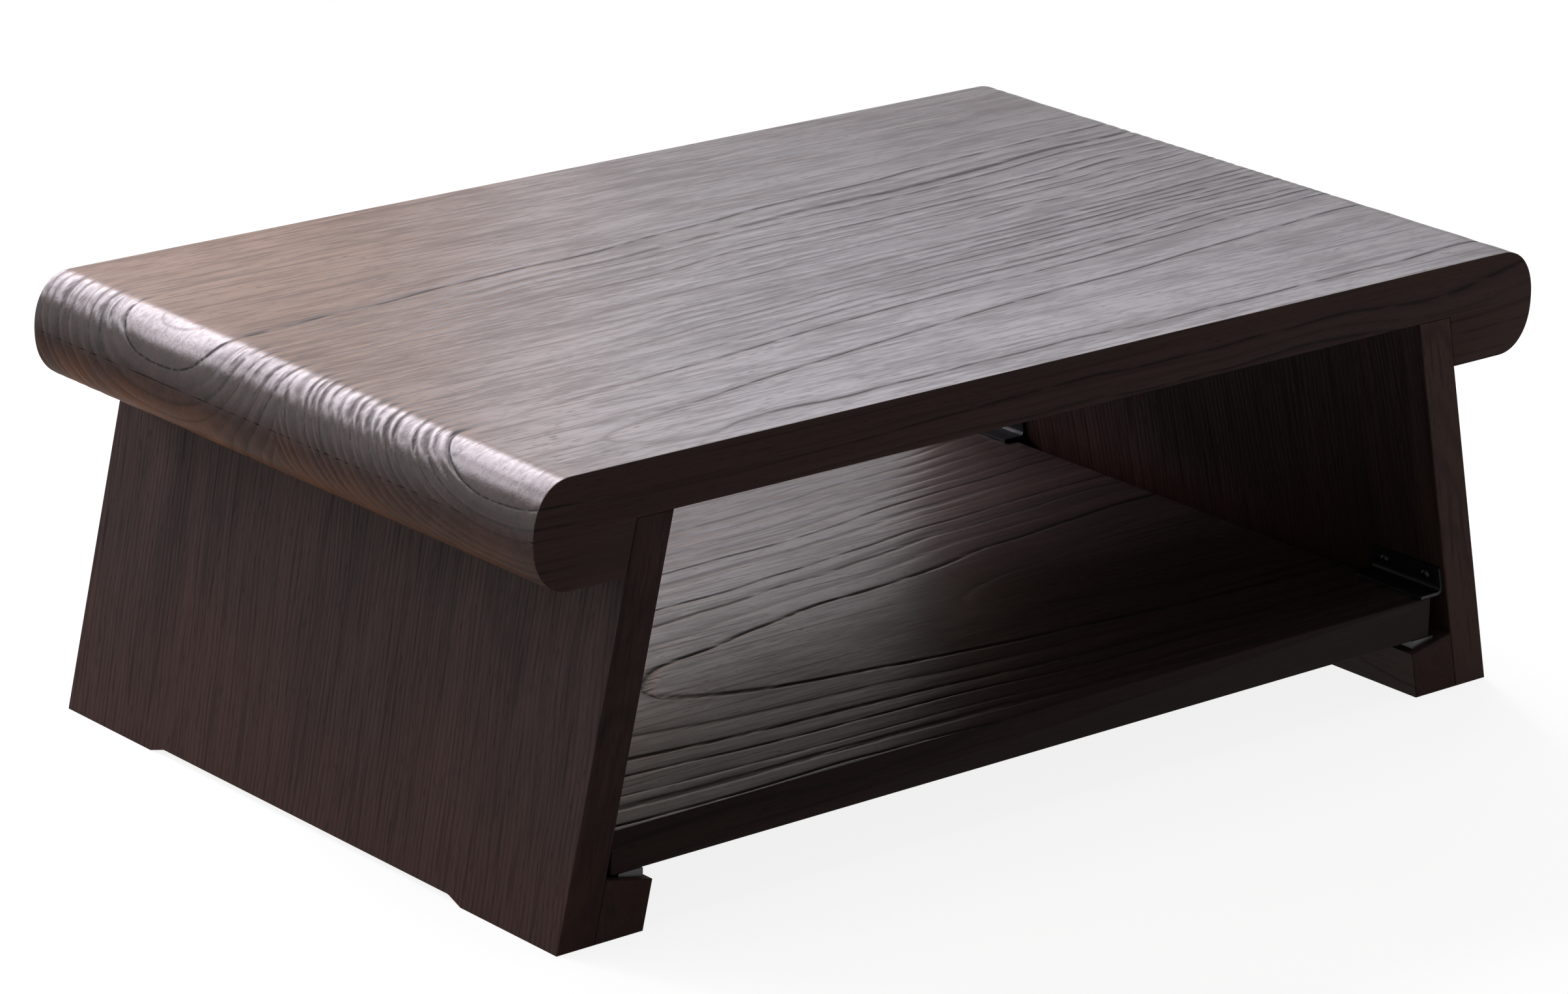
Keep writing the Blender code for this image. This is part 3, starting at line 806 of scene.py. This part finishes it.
def run_tree(piece, group, values):
    """Runs a Geometry Nodes tree on a piece, with its inputs by name, and keeps a plain mesh."""
    items = group.interface.items_tree
    names = {item.name: item.identifier for item in items if item.in_out == 'INPUT'}
    modifier = piece.modifiers.new(group.name, 'NODES')
    modifier.node_group = group
    for name, value in values.items():
        modifier[names[name]] = value
    depsgraph = bpy.context.evaluated_depsgraph_get()
    mesh = bpy.data.meshes.new_from_object(piece.evaluated_get(depsgraph))
    piece.modifiers.clear()
    rough = piece.data
    piece.data = mesh
    bpy.data.meshes.remove(rough)
    mesh.name = piece.name


def make_top(wood, group):
    """The top board with its two rolled ends."""
    low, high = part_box("top_board")
    reach = high[0]
    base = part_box("end_block_left")[1][2] * 0.5 + low[2] * 0.5
    quarter = roll_quarter(high[2] - base, TOP_ROLL_FULLNESS, ROLL_POINTS)
    right = [Vector((reach - inward, base + rise)) for inward, rise in quarter]
    left = [Vector((-point.x, point.y)) for point in reversed(right)]
    near = [reach - ROLL_WIDTH - inset for inset in FLAT_INSETS]
    far = [near[-1] - 2 * near[-1] * step / FLAT_STEPS for step in range(1, FLAT_STEPS)]
    flat = [Vector((x, high[2])) for x in near + far + [-x for x in reversed(near)]]
    under = [Vector((x, base)) for x in UNDERSIDE_PLACES]
    outline = right + flat + left + under
    stations = edge_stations(low[1], high[1], TOP_STATIONS)
    piece = swept_board("tea_top", outline, stations, base)
    run_tree(piece, group, {"Groove Depth": ROLL_GROOVE_DEPTH, "Swell Depth": ROLL_SWELL_DEPTH,
                            "Wood": wood})
    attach(piece, "table")
    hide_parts("top_board")


def make_end_block(label, side, wood, group):
    """The block that completes one rolled end below the top."""
    node = f"end_block_{label}"
    low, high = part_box(node)
    reach = high[0] if side > 0 else -low[0]
    inner = -high[0] if side < 0 else low[0]
    top = high[2] * 0.5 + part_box("top_board")[0][2] * 0.5
    quarter = roll_quarter(top - low[2], BLOCK_ROLL_FULLNESS, BLOCK_ROLL_POINTS)
    roll = [Vector((reach - inward, top - drop)) for inward, drop in quarter]
    lower_inner = inner + LEAN_RUN * (high[2] - low[2])
    flat_end = reach - ROLL_WIDTH
    under_step = (flat_end - lower_inner) / BLOCK_UNDER_STEPS
    under = [Vector((flat_end - under_step * (step + 1), low[2])) for step in range(BLOCK_UNDER_STEPS)]
    outline = roll + under + [Vector((inner, top))]
    outline = [Vector((side * point.x, point.y)) for point in outline]
    if side > 0:
        outline.reverse()
    stations = edge_stations(low[1], high[1], TOP_STATIONS)
    piece = swept_board(f"roll_block_{label}", outline, stations, top)
    run_tree(piece, group, {"Groove Depth": ROLL_GROOVE_DEPTH, "Swell Depth": ROLL_SWELL_DEPTH,
                            "Wood": wood})
    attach(piece, "table")
    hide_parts(node)


def make_shelf(wood, group):
    """The loose shelf with its grain brushed deep."""
    low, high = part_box("shelf_board")
    corners = rounded_corners(low[0], low[2], high[0], high[2])
    stations = edge_stations(low[1], high[1], SHELF_STATIONS)
    piece = swept_board("tea_shelf", corners, stations)
    run_tree(piece, group, {"Groove Depth": SHELF_GROOVE_DEPTH, "Swell Depth": SHELF_SWELL_DEPTH,
                            "Wood": wood})
    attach(piece, "shelf")
    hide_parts("shelf_board")


def screw_seat(node, out):
    """Where the seat of a screw's head is, found from the top of its head."""
    top = max(out.dot(point.co) for point in node.data.vertices)
    crown = [point.co for point in node.data.vertices if out.dot(point.co) > top - CROWN_DEPTH]
    return sum(crown, Vector()) / len(crown) - out * SCREW_RISE


def screw_head(tree, radius, rise):
    """A dome with a cross cut in it, made of geometry nodes."""
    ball = tree.node('GeometryNodeMeshUVSphere', None,
                     {"Segments": HEAD_SEGMENTS, "Rings": HEAD_RINGS, "Radius": radius})
    squash = tree.node('ShaderNodeCombineXYZ', None, {0: 1.0, 1: 1.0, 2: rise / radius})
    dome = tree.node('GeometryNodeTransform', None, {"Geometry": ball, "Scale": squash})
    slots = []
    for size in ((RECESS_REACH, RECESS_WIDTH, CUTTER_HEIGHT),
                 (RECESS_WIDTH, RECESS_REACH, CUTTER_HEIGHT + RECESS_STEP)):
        slot = tree.node('GeometryNodeMeshCube', None, {"Size": size})
        lift = tree.node('ShaderNodeCombineXYZ', None, {2: rise + (CUTTER_HEIGHT / 2.0 - RECESS_DEPTH)})
        slots.append(tree.node('GeometryNodeTransform', None, {"Geometry": slot, "Translation": lift}))
    cross = tree.node('GeometryNodeMeshBoolean', {"operation": 'UNION'}, {"Mesh 2": slots})
    block = tree.node('GeometryNodeMeshCube', None,
                      {"Size": (CUTTER_WIDTH, CUTTER_WIDTH, CUTTER_HEIGHT)})
    sink = (0.0, 0.0, -CUTTER_HEIGHT / 2.0 - SEAT_DEPTH)
    below = tree.node('GeometryNodeTransform', None, {"Geometry": block, "Translation": sink})
    cut = tree.node('GeometryNodeMeshBoolean', {"operation": 'DIFFERENCE'},
                    {"Mesh 1": dome, "Mesh 2": [cross, below]})
    return tree.node('GeometryNodeMergeByDistance', None, {"Geometry": cut, "Distance": WELD})


def screw_shank(tree, radius):
    """A plain shank with a point, made of geometry nodes."""
    rod = tree.node('GeometryNodeMeshCylinder', None,
                    {"Vertices": SHANK_SIDES, "Radius": radius, "Depth": SHANK_LENGTH})
    tip = tree.node('GeometryNodeMeshCone', None,
                    {"Vertices": SHANK_SIDES, "Radius Top": radius * POINT_SHARE, "Radius Bottom": 0.0,
                     "Depth": POINT_LENGTH})
    shank = tree.node('GeometryNodeTransform', None,
                      {"Geometry": rod, "Translation": (0.0, 0.0, -SHANK_LENGTH / 2.0)})
    drop = (0.0, 0.0, POINT_OVERLAP - SHANK_LENGTH - POINT_LENGTH)
    point = tree.node('GeometryNodeTransform', None, {"Geometry": tip, "Translation": drop})
    return tree.node('GeometryNodeMeshBoolean', {"operation": 'UNION'}, {"Mesh 2": [shank, point]})


def screw_tree():
    """A Geometry Nodes tree that puts one screw on each seat, each turned to its own angle."""
    inputs = {"Seats": 'Geometry', "Head Radius": 'Float', "Head Rise": 'Float',
              "Shank Radius": 'Float', "Lean": 'Float', "Steel": 'Material'}
    group, tree, (seats, radius, rise, shank, lean, steel) = new_group("clip screws", inputs, "Screws")
    parts = [screw_head(tree, radius, rise), screw_shank(tree, shank)]
    screw = tree.node('GeometryNodeJoinGeometry', None, {0: parts})
    turn = tree.node('ShaderNodeCombineXYZ', None, {1: lean})
    placed = tree.node('GeometryNodeInstanceOnPoints', None,
                       {"Points": seats, "Instance": screw, "Rotation": turn})
    angle = tree.node('FunctionNodeRandomValue', {"data_type": 'FLOAT'}, {2: 0.0, 3: math.pi / 2.0}, 1)
    twist = tree.node('ShaderNodeCombineXYZ', None, {2: angle})
    driven = tree.node('GeometryNodeRotateInstances', None, {"Instances": placed, "Rotation": twist})
    end_group(tree, driven, steel)
    return group


def make_screws(steel):
    """The clip screws, all on the right panel's inner face."""
    names = sorted(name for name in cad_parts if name.startswith("clip_screw"))
    out = Vector((-math.cos(LEAN), 0.0, -math.sin(LEAN)))
    mesh = bpy.data.meshes.new("clip_screws")
    mesh.from_pydata([screw_seat(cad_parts[name], out) for name in names], [], [])
    piece = add_object("clip_screws", mesh)
    run_tree(piece, screw_tree(), {"Head Radius": SCREW_RADIUS, "Head Rise": SCREW_RISE,
                                   "Shank Radius": SHANK_RADIUS, "Lean": -math.pi / 2.0 - LEAN,
                                   "Steel": steel})
    piece.data.shade_smooth()
    piece.data.set_sharp_from_angle(angle=SHARP_ANGLE)
    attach(piece, "table")
    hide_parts(*names)


def rounded_corners(x0, z0, x1, z1):
    """A flat board's outline, anticlockwise, with rounded corners and even steps along its top."""
    outline = []
    radius = EDGE_RADIUS
    for x, z, start in ((x0 + radius, z0 + radius, 180), (x1 - radius, z0 + radius, 270),
                        (x1 - radius, z1 - radius, 0), (x0 + radius, z1 - radius, 90)):
        for step in range(EDGE_STEPS + 1):
            angle = math.radians(start + 90 * step / EDGE_STEPS)
            outline.append(Vector((x + radius * math.cos(angle), z + radius * math.sin(angle))))
        if start == 0:
            count = int((x1 - x0) / SHELF_STEP)
            for step in range(1, count):
                outline.append(Vector((x1 - radius - (x1 - x0 - 2 * radius) * step / count, z1)))
    return outline


def dress(material, *starts):
    """Gives a material to every CAD node whose name starts with one of the words."""
    for name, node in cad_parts.items():
        if name.startswith(starts):
            node.data.materials.clear()
            node.data.materials.append(material)


def make_camera():
    """The photograph's view."""
    camera = bpy.data.cameras.new("camera")
    camera.sensor_fit = 'HORIZONTAL'
    camera.sensor_width = CAMERA_SENSOR
    camera.lens = CAMERA_LENS
    camera.clip_end = CAMERA_END
    holder = add_object("camera", camera)
    upward = [-part for part in CAMERA_DOWN]
    backward = [-part for part in CAMERA_FORWARD]
    turn = Matrix((CAMERA_RIGHT, upward, backward)).transposed().to_quaternion()
    holder.matrix_world = Matrix.Translation(CAMERA_PLACE) @ turn.to_matrix().to_4x4()
    bpy.context.scene.camera = holder


def seen_directly(tree):
    """1 for rays that show a background: from the camera, by reflection or through glass."""
    camera = tree.node('ShaderNodeLightPath', None, None, "Is Camera Ray")
    glossy = tree.node('ShaderNodeLightPath', None, None, "Is Glossy Ray")
    through = tree.node('ShaderNodeLightPath', None, None, "Is Transmission Ray")
    return camera.math('MAXIMUM', glossy).math('MAXIMUM', through)


def make_world():
    """White round the horizon and greyer overhead to look at, and a softer fill for everything else."""
    world = bpy.data.worlds.new("studio")
    world.use_nodes = True
    world.node_tree.nodes.clear()
    tree = Tree(world.node_tree)
    upward = grain_axes(tree, tree.node('ShaderNodeTexCoord', None, None, 0))[2]
    backdrop = 1.0 - step_between(tree, upward, *WORLD_RISE) * (1.0 - WORLD_ABOVE)
    strength = mix_values(tree, seen_directly(tree), WORLD_FILL, backdrop)
    background = tree.node('ShaderNodeBackground', None, {"Color": WHITE, "Strength": strength})
    tree.node('ShaderNodeOutputWorld', None, {"Surface": background})
    bpy.context.scene.world = world


def floor_material():
    """A pale floor that keeps the table's shadow and fades to plain white away from it."""
    material, tree = new_material("pale_floor")
    x, y, _ = grain_axes(tree, object_place(tree))
    away = (x * x + y * y).math('SQRT')
    far = step_between(tree, away, *FLOOR_FADE)
    plain = tree.node('ShaderNodeBsdfDiffuse', None, {"Color": FLOOR_GREY})
    shaded = tree.node('ShaderNodeBsdfDiffuse', None, {"Color": FLOOR_SHADE})
    lit = tree.node('ShaderNodeEmission', None, {"Color": WHITE, "Strength": FLOOR_GLOW})
    white = tree.node('ShaderNodeEmission', None, {"Color": WHITE, "Strength": 1.0})
    near = tree.node('ShaderNodeAddShader', None, {0: shaded, 1: lit})
    shown = tree.node('ShaderNodeMixShader', None, {0: far, 1: near, 2: white})
    surface = tree.node('ShaderNodeMixShader', None, {0: seen_directly(tree), 1: plain, 2: shown})
    tree.node('ShaderNodeOutputMaterial', None, {"Surface": surface})
    return material


def make_floor():
    """The floor under the table."""
    reach = FLOOR_REACH
    mesh = bpy.data.meshes.new("floor")
    mesh.from_pydata([(-reach, -reach, 0), (reach, -reach, 0), (reach, reach, 0), (-reach, reach, 0)],
                     [], [(0, 1, 2, 3)])
    mesh.materials.append(floor_material())
    floor = add_object("floor", mesh)


def make_panel_light(name, panel):
    """One soft panel of light, turned to the table."""
    turn = math.radians(panel.round_from_back)
    rise = math.radians(panel.up)
    away = Vector((math.sin(turn) * math.cos(rise), math.cos(turn) * math.cos(rise), math.sin(rise)))
    place = Vector(PANEL_AIM) + away * panel.distance
    light = bpy.data.lights.new(name, 'AREA')
    light.shape = 'RECTANGLE'
    light.size = 2.0 * panel.distance * math.tan(math.radians(panel.width / 2.0))
    light.size_y = 2.0 * panel.distance * math.tan(math.radians(panel.height / 2.0))
    light.energy = panel.radiance * POWER_PER_RADIANCE * light.size * light.size_y
    light.color = panel.colour
    holder = add_object(name, light)
    facing = (-away).to_track_quat('-Z', 'Y').to_matrix().to_4x4()
    holder.matrix_world = Matrix.Translation(place) @ facing
    holder.visible_camera = False


def dress_table():
    """Every piece of the table with its finish."""
    top_wood = wood_material("top_wood", object_place, top_rings, TOP_FINISH,
                             dull_roll, roll_painted_light, flat_mask)
    block_wood = wood_material("roll_wood", object_place, top_rings, ROLL_FINISH,
                               dull_roll, roll_painted_light)
    shelf_wood = wood_material("shelf_wood", object_place, shelf_rings, SHELF_FINISH,
                               dull_shelf, shelf_wear)
    leg_wood = wood_material("leg_wood", leg_place, leg_rings, LEG_FINISH, dull_ends, leg_redness_and_painted_light)
    rail_wood = wood_material("rail_wood", rail_place, rail_rings, RAIL_FINISH, dull_ends, rail_wear)
    roll_group = relief_tree("roll relief", top_rings, roll_fade)
    make_top(top_wood, roll_group)
    make_end_block("left", -1, block_wood, roll_group)
    make_end_block("right", 1, block_wood, roll_group)
    make_shelf(shelf_wood, relief_tree("shelf relief", shelf_rings, shelf_fade))
    dress(leg_wood, "leg_panel")
    dress(rail_wood, "shelf_rail")
    steel = steel_material()
    dress(steel, "shelf_clip")
    make_screws(steel)
    dress(nylon_material(), "shelf_pad")
    dress(beech_material(), "leg_dowel", "rail_dowel")


make_camera()
make_world()
make_floor()
for panel_name, panel_light in PANELS.items():
    make_panel_light(panel_name, panel_light)
dress_table()
bpy.context.scene.view_settings.view_transform = 'Standard'
